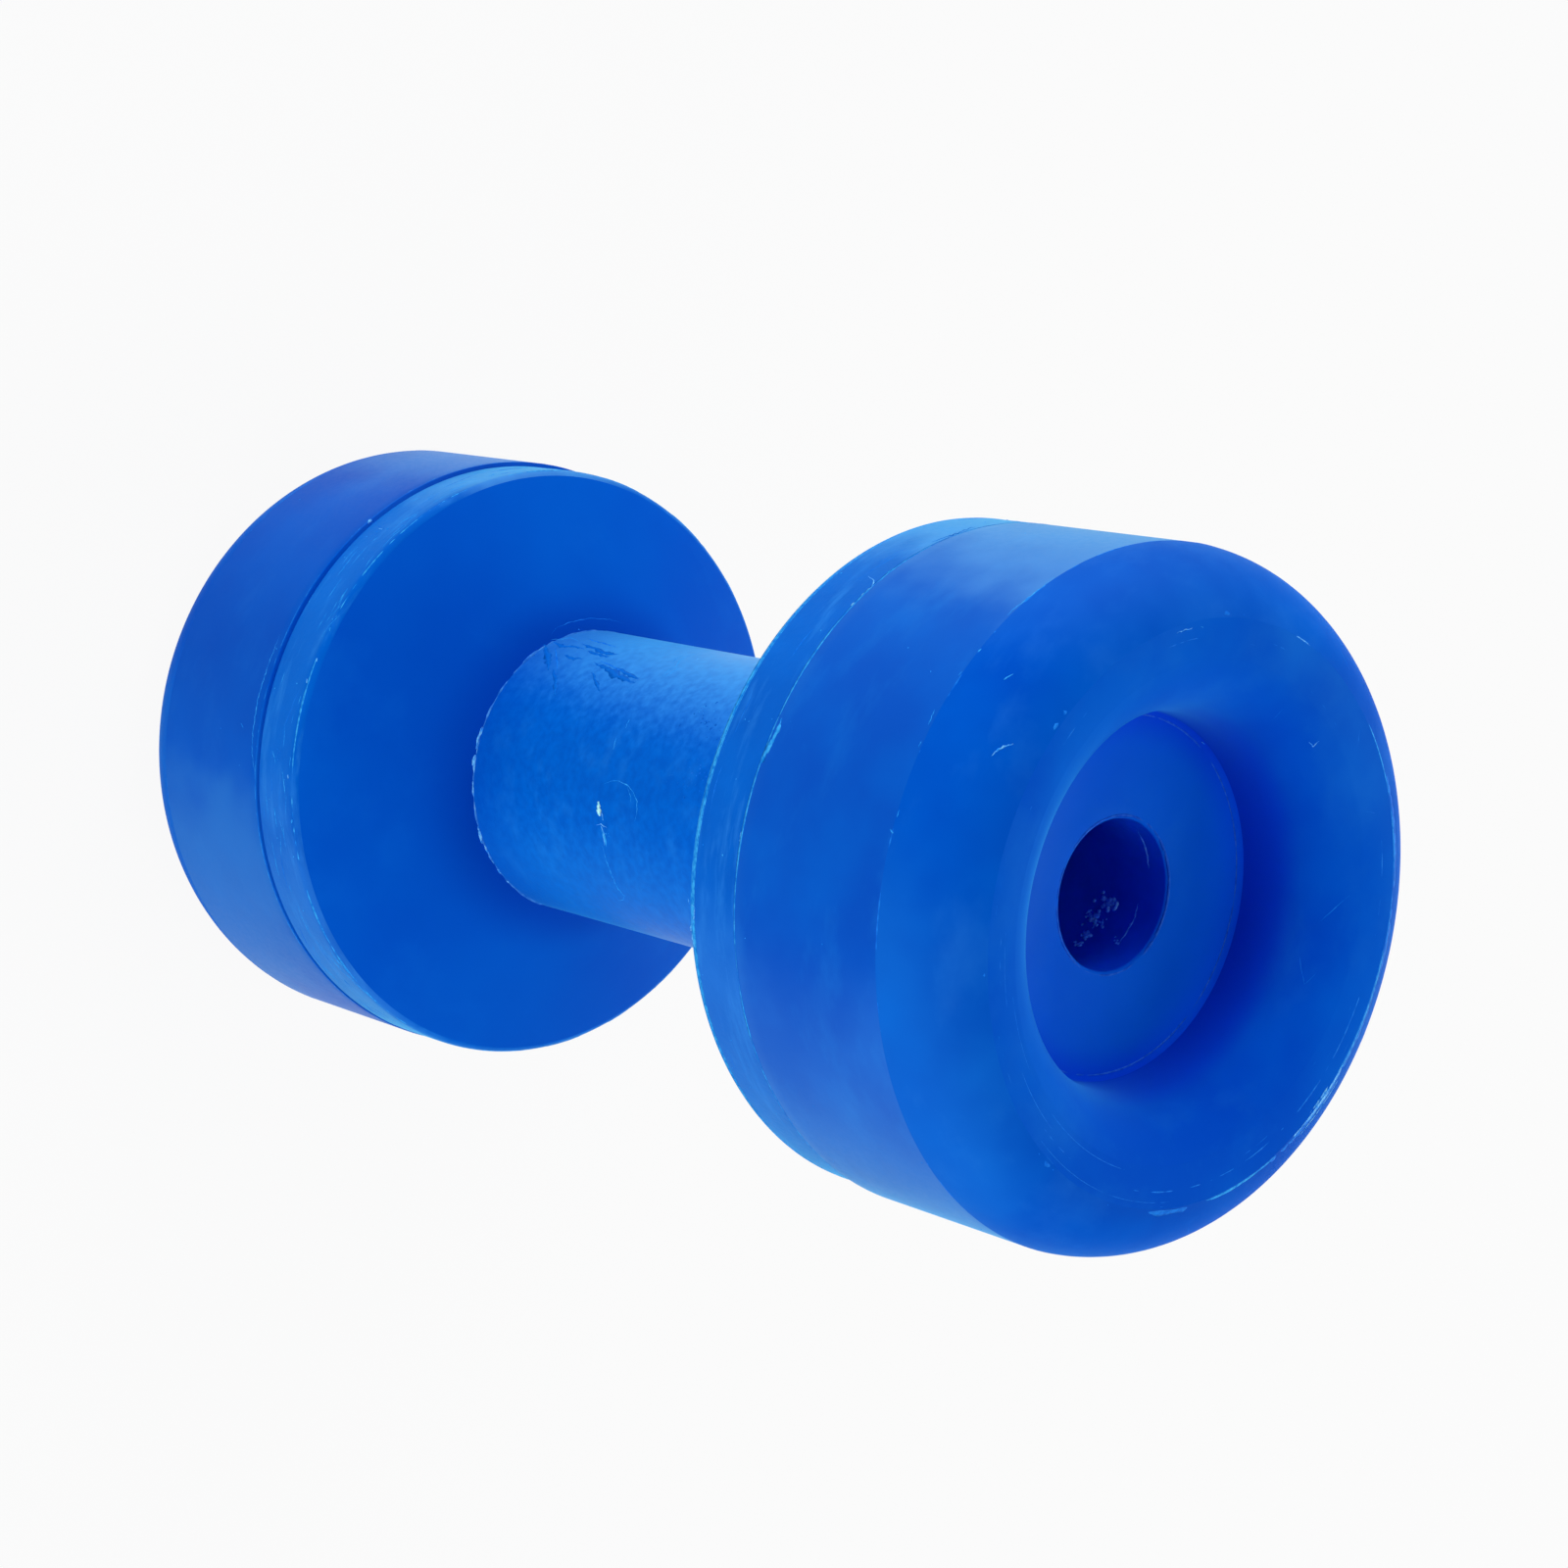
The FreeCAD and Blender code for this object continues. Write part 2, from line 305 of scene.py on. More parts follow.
def drawHalfSection(bm, values):
    bore, drum, line = values["bore"], values["drum"], values["mouldLine"]
    boreMouth, hubEdge = (bore, values["hubHeight"]), (values["hubRadius"], values["hubHeight"])
    crest, drumEnd = (values["crest"], halfLength), (drum, values["drumEnd"])
    at = bm.verts.new(Vector((bore, 0, 0)) * mm)
    at = drawCorner(bm, at, (bore, 0), boreMouth, hubEdge, values["boreEdge"], lineParts=10, arcParts=4)
    at = drawCorner(bm, at, boreMouth, hubEdge, values["wallTop"], values["hubRound"], lineParts=8,
                    arcParts=5)
    at = drawLine(bm, at, values["wallTop"], parts=3)
    at = drawSweep(bm, at, values["wallTop"], values["rimFoot"], values["mouthRound"], parts=16)
    at = drawSweep(bm, at, values["rimFoot"], crest, values["rimRound"], parts=6)
    at = drawSweep(bm, at, crest, drumEnd, values["shoulderRound"], parts=18)
    bevelIn, bevelFrom, bevelTo = values["lineBevel"]
    at = drawLine(bm, at, (drum, line + bevelFrom), parts=14)
    at = drawLine(bm, at, (drum - bevelIn, line + bevelTo))
    band = drum - values["mouldStep"]
    crease = band - values["creaseDepth"]
    at = drawLine(bm, at, (crease, line), parts=2)
    at = drawLine(bm, at, (crease, line - values["creaseWidth"] / 2))
    at = drawLine(bm, at, (band, line - values["creaseWidth"]))
    root = (values["shaft"], values["shaftRoot"])
    at = drawCorner(bm, at, (band, line), (band, values["flankEdge"]), root, values["flankRound"],
                    lineParts=8, arcParts=6)
    at = drawLine(bm, at, root, parts=14)
    drawLine(bm, at, (values["shaft"], 0), parts=28)


def mirror(bm, axis):
    everything = bm.verts[:] + bm.edges[:] + bm.faces[:]
    bmesh.ops.mirror(bm, geom=everything, matrix=Matrix.Identity(4), merge_dist=weld, axis=axis)


def turnRound(bm, steps):
    # a quarter turn about the axle, then its mirror images, far quicker than a full turn this fine
    bmesh.ops.spin(bm, geom=bm.verts[:] + bm.edges[:], cent=(0, 0, 0), axis=(0, 0, 1),
                   angle=math.pi / 2, steps=steps // 4, use_merge=False, use_duplicate=False)
    mirror(bm, "X")
    mirror(bm, "Y")
    bmesh.ops.remove_doubles(bm, verts=bm.verts, dist=weld)


def onCircle(edge, circles):
    # whether the edge lies along one of those circles about the axle, on either head
    first, last = [Vector((math.hypot(vert.co.x, vert.co.y) / mm, abs(vert.co.z / mm - halfLength)))
                   for vert in edge.verts]
    near = 0.01    # mm
    return (first - last).length < near and any((first - Vector(circle)).length < near for circle in circles)


def makeMoulding(values):
    bm = bmesh.new()
    drawHalfSection(bm, values)
    mirror(bm, "Z")
    bmesh.ops.translate(bm, vec=Vector((0, 0, halfLength)) * mm, verts=bm.verts)
    turnRound(bm, values["steps"])
    bmesh.ops.recalc_face_normals(bm, faces=bm.faces)
    for face in bm.faces:
        face.smooth = True
    circles = ((values["crest"], halfLength), (values["drum"], values["drumEnd"]), values["rimFoot"])
    for edge in bm.edges:
        gentle = edge.calc_face_angle() < math.radians(values["sharpAngle"])
        edge.smooth = gentle and not onCircle(edge, circles)
    return bm


# The middle part of the mould sat askew between its ends, so the band, the flanks and the
# shaft are shifted sideways, one way at the upper head and the other way at the lower one.
mismatchValues = {
    "upperBand": -0.30,    # mm along X
    "lowerBand": 0.22,
    "shaft": -0.32,
    "lineSlack": 0.02,     # mm, so that points on the mould line go along
    "boreClear": 1.0,      # mm, so that the bore stays where it is
}


def shiftMiddle(bm, values, shift):
    middle = (shift["upperBand"] + shift["lowerBand"]) / 2
    slope = (shift["upperBand"] - shift["lowerBand"]) / 2 / values["mouldLine"]
    for vert in bm.verts:
        height = vert.co.z / mm - halfLength
        reach = math.hypot(vert.co.x, vert.co.y) / mm
        between = abs(height) < values["mouldLine"] + shift["lineSlack"]
        if between and reach > values["bore"] + shift["boreClear"]:
            share = (reach - values["shaft"]) / (values["drum"] - values["shaft"])
            atBand = middle + slope * height
            vert.co.x += (shift["shaft"] + (atBand - shift["shaft"]) * share) * mm


moulding = makeMoulding(mouldingValues)
shiftMiddle(moulding, mouldingValues, mismatchValues)
surface = BVHTree.FromBMesh(moulding)
print("moulding drawn,", len(moulding.faces), "faces")


# One blue plastic, with the finish that each part of the mould gave it.
plasticValues = {
    "toneSpan": (0.35, 0.68),     # of the cloud noise, from the deep tone to the pale one
    "rubbedSpan": (0.52, 0.80),   # of the streak noise, from none to the most
    "evenSpan": (0.3, 0.7),       # of any noise, nearly all of it
    "bumpDepth": 0.05,            # mm
    "ior": 1.5,
    "mirroredTint": "#3cb0ff",
    "hazeTint": "#54d4ff",
    "hazeSpread": 0.4,            # where a finish gives no other
}


def addStreaks(tree, place, colour, values):
    # rubbed streaks run round the axle, as the noise is stretched across it
    stretched = addNode(tree, "ShaderNodeMapping", [(place, "Vector")], inputs={
        "Scale": (values["stretch"], values["stretch"], 1.0)}).outputs[0]
    streak = addNoise(tree, stretched, values["streak"], detail=5.0, roughness=0.65)
    rubbed = mapRange(tree, streak, plasticValues["rubbedSpan"], (0.0, values["rub"]))
    return layOver(tree, rubbed, colour, values["rubbed"])


def addPaintedShade(tree, place, colour, values):
    # painted shade: a darker ring about the axle, full at the first radius and gone at the second
    level = addNode(tree, "ShaderNodeVectorMath", [(place, 0)], operation="MULTIPLY",
                    inputs={1: (1.0, 1.0, 0.0)}).outputs[0]
    reach = addNode(tree, "ShaderNodeVectorMath", [(level, 0)], operation="LENGTH").outputs["Value"]
    full, gone = values["shadeReach"]
    shade = mapRange(tree, reach, (full * mm, gone * mm), (1.0, 0.0), "SMOOTHSTEP")
    return layOver(tree, shade, colour, values["shade"])


def addPaintedLight(tree, place, cloud, under, patch):
    # painted light or shade: a paler or darker stretch toward one side, with an uneven edge
    colour, most, toward, (starts, full), wander = patch
    level = addNode(tree, "ShaderNodeVectorMath", [(place, 0)], operation="DOT_PRODUCT",
                    inputs={1: toward}).outputs["Value"]
    uneven = mapRange(tree, cloud, plasticValues["evenSpan"], (-wander * mm, wander * mm))
    wavy = addNode(tree, "ShaderNodeMath", [(level, 0), (uneven, 1)]).outputs[0]
    share = mapRange(tree, wavy, (starts * mm, full * mm), (0.0, most), "SMOOTHSTEP")
    return layOver(tree, share, under, colour)


def makePlastic(name, values):
    material = bpy.data.materials.new(name)
    tree = emptyTree(material)
    place = addNode(tree, "ShaderNodeTexCoord").outputs["Object"]
    cloud = addNoise(tree, place, values["cloud"], detail=3.0, roughness=0.55)
    colour = addTone(tree, cloud, plasticValues["toneSpan"], values["deep"], values["pale"])
    colour = addStreaks(tree, place, colour, values)
    # painted shade and painted light laid over the plastic's own tones
    if "shade" in values:
        colour = addPaintedShade(tree, place, colour, values)
    for patch in values.get("paintedLightPatches", ()):
        colour = addPaintedLight(tree, place, cloud, colour, patch)
    fine = addNoise(tree, place, values["fine"], detail=4.0, roughness=0.6)
    rough = mapRange(tree, fine, plasticValues["evenSpan"],
                     (values["roughness"] - values["swing"], values["roughness"] + values["swing"]))
    bump = addNode(tree, "ShaderNodeBump", [(fine, "Height")], inputs={
        "Strength": values["bump"], "Distance": plasticValues["bumpDepth"] * mm}).outputs["Normal"]
    shader = addNode(tree, "ShaderNodeBsdfPrincipled",
                     [(colour, "Base Color"), (rough, "Roughness"), (bump, "Normal")],
                     inputs={"IOR": plasticValues["ior"],
                             "Specular IOR Level": values["specular"],
                             "Specular Tint": linear(plasticValues["mirroredTint"]),
                             "Sheen Weight": values["haze"],
                             "Sheen Roughness": values.get("hazeSpread", plasticValues["hazeSpread"]),
                             "Sheen Tint": linear(plasticValues["hazeTint"])})
    addNode(tree, "ShaderNodeOutputMaterial", [(shader.outputs[0], 0)])
    return material


# Lengths in mm. Each patch of painted light or shade is its colour, its share, the way it lies
# along X, Y and Z, how far that way it starts and is full, and how far its edge wanders.
finishes = {
    # the lower head's drum: even satin, with painted highlights toward the top and foot of the picture
    "satinDrum": {
        "deep": "#004cbc", "pale": "#0059c8", "cloud": 26, "rubbed": "#1969d0", "rub": 0.4, "streak": 6,
        "stretch": 0.55, "fine": 0.7, "roughness": 0.36, "swing": 0.05, "bump": 0.12,
        "specular": 0.03, "haze": 0.12,
        "paintedLightPatches": [
            ("#56acee", 0.30, (-0.97, -0.24, 0.0), (33.4, 37.7), 1.6),
            ("#5ab4dc", 0.17, (0.72, -0.69, 0.0), (32.5, 38.0), 3.0)]},
    # the upper head's drum: cloudy from handling, with a sheen, a painted highlight strongest along
    # the top of the picture and fainter painted highlights toward its foot
    "wornDrum": {
        "deep": "#004ac0", "pale": "#0057ca", "cloud": 13, "rubbed": "#1a78dc", "rub": 0.36, "streak": 5,
        "stretch": 0.45, "fine": 0.7, "roughness": 0.36, "swing": 0.05, "bump": 0.15,
        "specular": 0.03, "haze": 0.52, "hazeSpread": 0.45,
        "paintedLightPatches": [
            ("#6aaeee", 0.38, (-0.94, -0.34, 0.12), (48.4, 53.0), 1.6),
            ("#6aaeee", 0.08, (0.707, -0.707, 0.0), (33.0, 37.9), 1.0),
            ("#62aaee", 0.05, (0.94, -0.34, 0.0), (30.0, 38.0), 2.0)]},
    # the rounded shoulders: soft satin with faint streaks round the axle, and faint painted highlights
    # toward the top and foot of the picture
    "satinShoulder": {
        "deep": "#004dc3", "pale": "#005bcf", "cloud": 16, "rubbed": "#2474dc", "rub": 0.42, "streak": 6,
        "stretch": 0.45, "fine": 0.7, "roughness": 0.5, "swing": 0.04, "bump": 0.12,
        "specular": 0.01, "haze": 0.15,
        "paintedLightPatches": [
            ("#62aaee", 0.05, (-0.94, -0.34, 0.0), (28.0, 36.0), 2.0),
            ("#3cb0f4", 0.09, (0.62, -0.78, 0.0), (27.0, 36.0), 2.0)]},
    # recess walls, mouths and rims: hazy satin, with painted shade at the foot of the wall and a faint
    # painted highlight on one side
    "satinFunnel": {
        "deep": "#0048c8", "pale": "#0058d2", "cloud": 16, "rubbed": "#1566d4", "rub": 0.6, "streak": 7,
        "stretch": 0.45, "fine": 0.9, "roughness": 0.6, "swing": 0.04, "bump": 0.10,
        "specular": 0.0, "haze": 0.55,
        "shade": "#003ece", "shadeReach": (20.1, 21.3),
        "paintedLightPatches": [
            ("#40a0f0", 0.07, (-0.82, 0.57, 0.0), (22.0, 30.0), 2.0)]},
    # the flat faces round the bore: bright satin with painted shade toward the wall, a painted highlight on
    # one side and a painted bluer glow of bounced light on the other
    "satinHub": {
        "deep": "#005ade", "pale": "#0064e8", "cloud": 25, "rubbed": "#1c74e6", "rub": 0.3, "streak": 6,
        "stretch": 0.6, "fine": 0.9, "roughness": 0.55, "swing": 0.04, "bump": 0.10,
        "specular": 0.03, "haze": 0.3,
        "shade": "#0046e0", "shadeReach": (20.2, 15.6),
        "paintedLightPatches": [
            ("#62a6ee", 0.13, (0.0, -1.0, 0.0), (6.0, 18.0), 1.0),
            ("#0064fa", 0.7, (0.0, 1.0, 0.0), (8.0, 18.0), 1.0)]},
    # the bands: rougher and paler, with short streaks scored round the axle, and painted highlights toward
    # the top and foot of the picture
    "roughBand": {
        "deep": "#0059c8", "pale": "#0063d3", "cloud": 10, "rubbed": "#2c86e4", "rub": 0.8, "streak": 1.8,
        "stretch": 0.16, "fine": 0.6, "roughness": 0.42, "swing": 0.06, "bump": 0.5,
        "specular": 0.03, "haze": 0.7,
        "paintedLightPatches": [
            ("#5aa8ee", 0.50, (-0.97, -0.24, 0.0), (32.5, 37.2), 1.6),
            ("#5aa8ee", 0.15, (0.707, -0.707, 0.0), (31.5, 37.4), 1.6)]},
    # the conical flanks: the smoothest and most even, with painted shade round the shaft
    "smoothFlank": {
        "deep": "#0050c6", "pale": "#005ccf", "cloud": 34, "rubbed": "#0c68d6", "rub": 0.4, "streak": 9,
        "stretch": 0.6, "fine": 1.2, "roughness": 0.5, "swing": 0.03, "bump": 0.06,
        "specular": 0.02, "haze": 0.16,
        "shade": "#0044b8", "shadeReach": (17.5, 24.5)},
    # the shaft: finely grained, with a painted highlight along its top, a fainter one along its foot, and
    # painted shade toward the lower flank
    "filmShaft": {
        "deep": "#005cca", "pale": "#0067d5", "cloud": 1.0, "rubbed": "#2084e6", "rub": 0.45, "streak": 3.2,
        "stretch": 0.7, "fine": 0.5, "roughness": 0.34, "swing": 0.06, "bump": 0.32,
        "specular": 0.02, "haze": 0.20, "hazeSpread": 0.25,
        "paintedLightPatches": [
            ("#48a8f0", 0.95, (-1.0, 0.0, 0.06), (9.2, 27.0), 1.4),
            ("#34a8f0", 0.11, (1.0, 0.0, 0.0), (4.0, 13.0), 1.0),
            ("#0048b8", 0.5, (0.0, 0.0, -1.0), (-60.0, -46.0), 1.0)]},
    # the bore: deep saturated blue, with a slight gloss
    "darkBore": {
        "deep": "#0048dc", "pale": "#0056ee", "cloud": 8, "rubbed": "#1058f0", "rub": 0.6, "streak": 1.6,
        "stretch": 0.2, "fine": 0.8, "roughness": 0.4, "swing": 0.08, "bump": 0.25,
        "specular": 0.3, "haze": 0.0},
}


sortValues = {
    # mm, how far a face's middle may lie from the line between two finishes
    "boreSlack": 0.03,
    "bandRound": 0.9,
    "drumSlack": 0.01,
    "hubRound": 0.6,
}


def findFinish(middle, values, slack):
    # which part of the mould a face came from
    reach, height = math.hypot(middle.x, middle.y), abs(middle.z - halfLength)
    if reach < values["bore"] + slack["boreSlack"] and height < values["hubHeight"]:
        return "darkBore"
    if height < values["shaftRoot"]:
        return "filmShaft"
    if height < values["mouldLine"]:
        outer = reach > values["drum"] - values["mouldStep"] - slack["bandRound"]
        return "roughBand" if outer else "smoothFlank"
    if height < values["drumEnd"] and reach > values["drum"] - slack["drumSlack"]:
        return "wornDrum" if middle.z > halfLength else "satinDrum"
    if reach > values["crest"]:
        return "satinShoulder"
    return "satinHub" if height < values["hubHeight"] + slack["hubRound"] else "satinFunnel"


def finishMoulding(bm, values):
    order = list(finishes)
    for face in bm.faces:
        kind = findFinish(face.calc_center_median() / mm, values, sortValues)
        face.material_index = order.index(kind)
    piece = meshObject("blueMoulding", bm, [makePlastic(name, finishes[name]) for name in order])
    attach(piece, "root")
    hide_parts("roller")


finishMoulding(moulding, mouldingValues)
print("moulding finished")


# Flash, rubbed edges and marks. They lie on the moulding, in their own shades of its plastic.
sightValues = {
    "photoSize": 1600,     # pixels
    "stride": 2.5,         # pixels from one sight to the next
    "jump": 2.0,           # mm, where the sight has gone over to another part
}


def sightOnto(tree, camera, pixel):
    # where the line of sight through that pixel of the photograph meets the moulding
    size = sightValues["photoSize"]
    reach = camera.data.sensor_width / size
    ray = Vector(((pixel[0] - size / 2) * reach, (size / 2 - pixel[1]) * reach, -camera.data.lens))
    eye = camera.matrix_world
    return tree.ray_cast(eye.translation, (eye.to_3x3() @ ray).normalized())[:2]


def tracePixels(tree, camera, pixels, wander):
    # the places under a line of pixels, with a new run wherever the sight jumps to another part
    runs = [[]]
    for (x0, y0), (x1, y1) in zip(pixels, pixels[1:]):
        steps = max(1, round(math.dist((x0, y0), (x1, y1)) / sightValues["stride"]))
        for step in range(steps + 1 if (x1, y1) == pixels[-1] else steps):
            share = step / steps
            x = x0 + (x1 - x0) * share + random.uniform(-wander, wander)
            y = y0 + (y1 - y0) * share + random.uniform(-wander, wander)
            place, normal = sightOnto(tree, camera, (x, y))
            if place is None:
                continue
            if runs[-1] and (place - runs[-1][-1][0]).length > sightValues["jump"] * mm:
                runs.append([])
            runs[-1].append((place, normal))
    return [run for run in runs if len(run) > 1]


ridgeValues = {
    "foot": -0.03,           # mm, a ridge's feet lie this far under the surface
    "taper": 0.6,            # below 1, blunter ends
    "uneven": (0.6, 1.15),   # least and most of a strip's width at one place
}


def makeStrip(path, width, rise):
    # a low ridge with tapered ends, along places on the surface with their normals
    bm = bmesh.new()
    last = len(path) - 1
    foot = ridgeValues["foot"]
    section = None
    for step, (place, normal) in enumerate(path):
        forward = (path[min(step + 1, last)][0] - path[max(step - 1, 0)][0]).normalized()
        side = forward.cross(normal).normalized()
        share = math.sin(math.pi * (step + 0.5) / (last + 1)) ** ridgeValues["taper"]
        share *= random.uniform(*ridgeValues["uneven"])
        spots = [place + side * (turn * width / 2 * share * mm) + normal * (lift * mm)
                 for turn, lift in ((-1, foot), (0, rise * share), (1, foot))]
        if section is None:
            verts = [bm.verts.new(spot) for spot in spots]
            section = [bm.edges.new((verts[turn - 1], verts[turn])) for turn in range(3)]
        else:
            made = bmesh.ops.extrude_edge_only(bm, edges=section)["geom"]
            verts = sorted((item for item in made if isinstance(item, bmesh.types.BMVert)),
                           key=lambda item: item.co.dot(before))
            section = [item for item in made if isinstance(item, bmesh.types.BMEdge)
                       and all(vert in verts for vert in item.verts)]
            for vert, spot in zip(verts, spots):
                vert.co = spot
        before = side
    bmesh.ops.holes_fill(bm, edges=bm.edges, sides=3)
    return bm


ringDefaults = {
    "steps": 480,        # round the axle
    "rise": 0.03,        # mm
    "shift": 0.0,        # mm along X, for a ring that sits on the shifted shaft
    "patch": 6.0,        # mm, length of the slow changes along the ring
    "patchGain": 0.9,    # how much they count
    "frayLength": 0.9,   # mm, length of the quick changes
    "fray": 0.5,         # how much those count
    "least": 0.1,        # of its full size, where the ring is thinnest
    "most": 1.3,         # and where it is thickest
    "sinkBelow": 0.8,    # of its full size, where the ring starts to go under the surface
    "sink": 0.12,        # mm under the surface, for each unit below that
}


def makeRing(tree, row):
    # a thin ridge round the axle, thick and thin by turns, and under the surface where it stops
    values = {**ringDefaults, **row}
    lean = math.radians(values["lean"])
    outward = Vector((math.cos(lean), math.sin(lean) * values["head"]))
    along = Vector((-outward.y, outward.x))
    middle = Vector((values["radius"], halfLength + values["height"] * values["head"]))
    foot = ridgeValues["foot"]
    spots = [middle + along * (turn * values["width"] / 2) + outward * lift
             for turn, lift in ((-1, foot), (0, values["rise"]), (1, foot))]
    bm = bmesh.new()
    verts = [bm.verts.new(Vector((spot.x, 0, spot.y)) * mm) for spot in spots]
    for turn in range(3):
        bm.edges.new((verts[turn - 1], verts[turn]))
    turnRound(bm, values["steps"])
    seed = random.uniform(0, 10)
    aside = Vector((values["shift"] * mm, 0, 0))
    for vert in bm.verts:
        turn = math.atan2(vert.co.y, vert.co.x)
        share = ringShare(turn, seed, values)
        base = Vector((middle.x * math.cos(turn), middle.x * math.sin(turn), middle.y)) * mm
        out = Vector((outward.x * math.cos(turn), outward.x * math.sin(turn), outward.y)) * mm
        seat = tree.find_nearest(base + aside)[0]
        sunk = values["sink"] * max(0, values["sinkBelow"] - share)
        vert.co = seat + (vert.co - base) * share - out * sunk
    return bm


def ringShare(turn, seed, values):
    # how much of its full size a ring has at that turn about the axle
    around = Vector((math.cos(turn), math.sin(turn), seed)) * values["radius"]
    share = values["cover"] + values["patchGain"] * noise.noise(around / values["patch"])
    share += values["fray"] * noise.noise(around / values["frayLength"])
    if "peak" in values:
        gap = math.remainder(turn - math.radians(values["peak"]), 2 * math.pi)
        share += values["peakGain"] * math.exp(-(gap / math.radians(values["peakSpan"])) ** 2)
    return min(max(share, values["least"]), values["most"])


speckValues = {
    # head, heights from mid-length (mm) and number
    "specks": [(-1, 38.2, 45.0, 60), (1, 38.2, 45.0, 40), (-1, 46.0, 66.0, 14), (1, 46.0, 66.0, 18)],
    "width": (0.12, 0.30),      # mm
    "outside": 60,              # mm from the axle, where the line onto the moulding starts
    "narrowness": (0.5, 1.0),   # of any crumb, beside its length
    "flatness": 0.35,
}


def addSpeck(bm, place, normal, width):
    turned = normal.to_track_quat("Z", "Y").to_matrix().to_4x4()
    spun = Matrix.Rotation(random.uniform(0, math.pi), 4, "Z")
    flat = Matrix.Diagonal((1.0, random.uniform(*speckValues["narrowness"]), speckValues["flatness"], 1.0))
    bmesh.ops.create_icosphere(bm, subdivisions=1, radius=width / 2 * mm,
                               matrix=Matrix.Translation(place) @ turned @ spun @ flat)


def makeSpecks(tree, values):
    bm = bmesh.new()
    for head, low, high, count in values["specks"]:
        for number in range(count):
            turn, height = random.uniform(-math.pi, math.pi), halfLength + head * random.uniform(low, high)
            inward = -Vector((math.cos(turn), math.sin(turn), 0))
            start = (Vector((0, 0, height)) - inward * values["outside"]) * mm
            place, normal = tree.ray_cast(start, inward)[:2]
            addSpeck(bm, place, normal, random.uniform(*values["width"]))
    return bm


def makeBlot(tree, camera, pixel, spread, count, widths):
    bm = bmesh.new()
    for number in range(count):
        spot = [middle + random.gauss(0, spread / 2) for middle in pixel]
        place, normal = sightOnto(tree, camera, spot)
        if place is not None:
            addSpeck(bm, place, normal, random.uniform(*widths))
    return bm


def makeScuffs(tree, values):
    # short wandering scuffs
    bm = bmesh.new()
    bend = values["bend"]
    for number in range(values["count"]):
        turn = math.radians(random.uniform(*values["turns"]))
        head = random.choice(values["heads"])
        reach, height = random.choice(values["places"])
        spot = Vector((math.cos(turn) * reach, math.sin(turn) * reach, halfLength + head * height)) * mm
        place, normal = tree.find_nearest(spot)[:2]
        heading = normal.cross((0, 0, 1)).normalized()
        heading.rotate(Matrix.Rotation(random.uniform(-1, 1) * math.radians(values["skew"]), 3, normal))
        path = []
        for step in range(random.randint(*values["strides"])):
            path.append((place, normal))
            heading.rotate(Matrix.Rotation(random.uniform(-bend, bend), 3, normal))
            place, normal = tree.find_nearest(place + heading * values["stride"] * mm)[:2]
        pourInto(bm, makeStrip(path, random.uniform(*values["width"]), values["rise"]))
    return bm


def pourInto(whole, part):
    mesh = bpy.data.meshes.new("part")
    part.to_mesh(mesh)
    part.free()
    whole.from_mesh(mesh)
    bpy.data.meshes.remove(mesh)


def finishMarks(bm, name, material):
    # no mark stands outside the solid's box
    for vert in bm.verts:
        for axis in range(3):
            vert.co[axis] = min(max(vert.co[axis], frameLow[axis]), frameHigh[axis])
    bmesh.ops.recalc_face_normals(bm, faces=bm.faces)
    for face in bm.faces:
        face.smooth = True
    piece = meshObject(name, bm, [material])
    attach(piece, "root")


markPlasticValues = {"toneSpan": (0.38, 0.62), "ior": 1.5, "specular": 0.02}


def makeMarkPlastic(name, values):
    shared = markPlasticValues
    material = bpy.data.materials.new(name)
    tree = emptyTree(material)
    place = addNode(tree, "ShaderNodeTexCoord").outputs["Object"]
    grain = addNoise(tree, place, values["grain"], detail=3.0, roughness=0.6)
    tone = addTone(tree, grain, shared["toneSpan"], values["deep"], values["pale"])
    shader = addNode(tree, "ShaderNodeBsdfPrincipled", [(tone, "Base Color")], inputs={
        "IOR": shared["ior"], "Roughness": values["roughness"], "Specular IOR Level": shared["specular"]})
    addNode(tree, "ShaderNodeOutputMaterial", [(shader.outputs[0], 0)])
    return material


markFinishes = {
    # torn or folded plastic, whitened by the strain
    "stressWhitened": {"deep": "#2a90f4", "pale": "#78c8ff", "grain": 0.5, "roughness": 0.5},
    # the torn gate, whitest of all
    "torn": {"deep": "#8cf0ff", "pale": "#c8ffff", "grain": 0.4, "roughness": 0.6},
    # flash torn off where the flanks meet the shaft
    "rootFlash": {"deep": "#1a68d0", "pale": "#4490e6", "grain": 1.2, "roughness": 0.6},
    # plastic scuffed to a paler blue
    "scuffed": {"deep": "#0f80e4", "pale": "#3cb0f8", "grain": 0.6, "roughness": 0.55},
    # edges rubbed a little paler than the rest
    "rubbed": {"deep": "#0866d8", "pale": "#1c80ea", "grain": 0.8, "roughness": 0.5},
    # folds of the skin, in their own shade
    "folded": {"deep": "#0460ca", "pale": "#0a6cd4", "grain": 0.5, "roughness": 0.5},
    # thin flash at the foot of the recess wall
    "footFlash": {"deep": "#145ad8", "pale": "#2c70e4", "grain": 0.8, "roughness": 0.5},
    # dried dirt in the bore
    "boreDirt": {"deep": "#3c8aff", "pale": "#68b0ff", "grain": 0.5, "roughness": 0.8},
}

